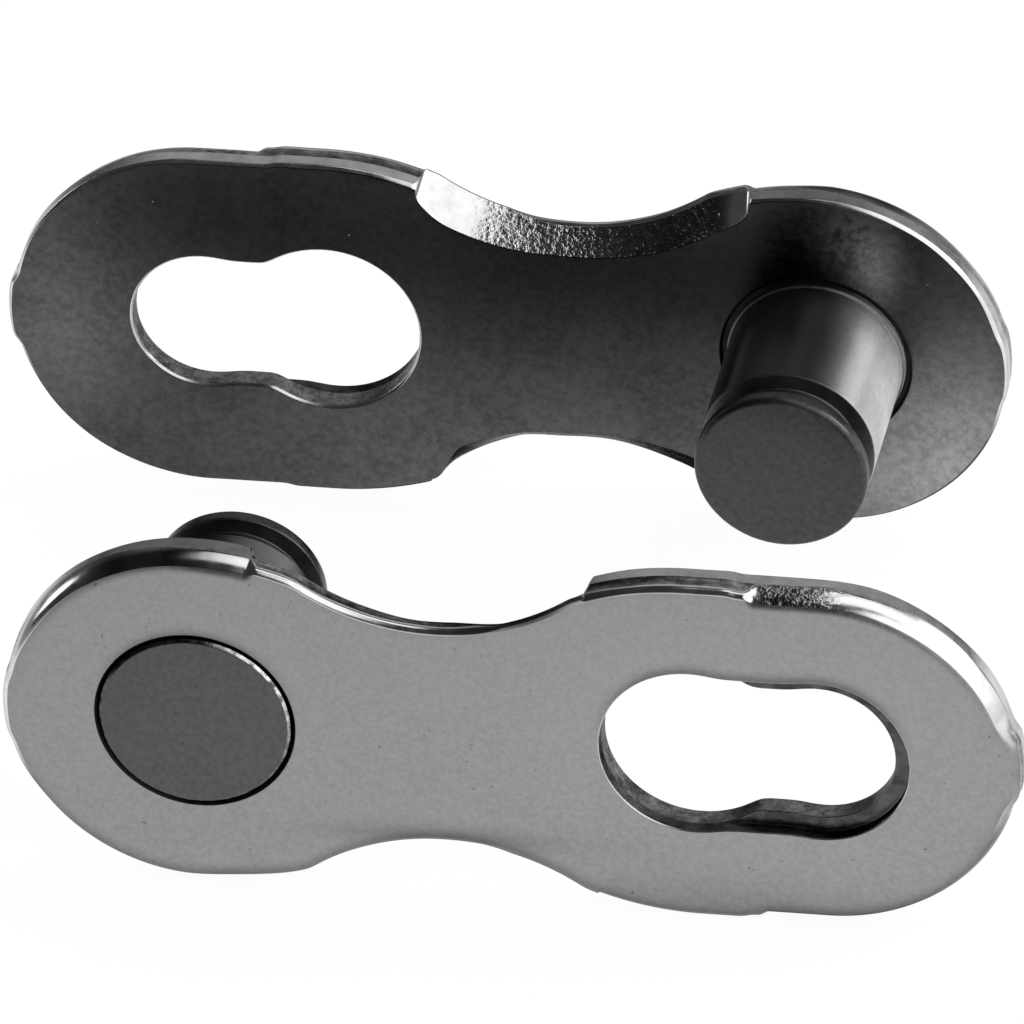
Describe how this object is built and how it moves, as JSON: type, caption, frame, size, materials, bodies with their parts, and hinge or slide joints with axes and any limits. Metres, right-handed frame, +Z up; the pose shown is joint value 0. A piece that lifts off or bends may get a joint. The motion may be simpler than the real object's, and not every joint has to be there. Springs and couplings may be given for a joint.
{
  "type": "chain connecting link",
  "caption": "Quick-release connecting link for a bicycle chain: each outer plate carries a riveted pin that locks in the keyhole slot of the other plate.",
  "frame": {"origin": "on the axis of pin A, at the inner face of plate A", "axes": "+X along the link, +Y along the pins from half B to half A, +Z up, across the plates, which stand on their lower long edges"},
  "size_m": [0.0235, 0.0152, 0.008],
  "materials": {
    "plate_steel": "stamped spring steel, satin outer face, burnished dark inner face, bright coined edges",
    "pin_steel": "hardened steel, ground body, matte riveted end"
  },
  "bodies": {
    "half_a": {"plate_a": "plate_steel", "pin_a": "pin_steel"},
    "half_b": {"plate_b": "plate_steel", "pin_b": "pin_steel"}
  },
  "joints": [
    {"name": "closing_slide", "type": "slide", "parent": "half_a", "child": "half_b", "axis": [0, 1, 0], "range_m": [0, 0.01021]}
  ]
}
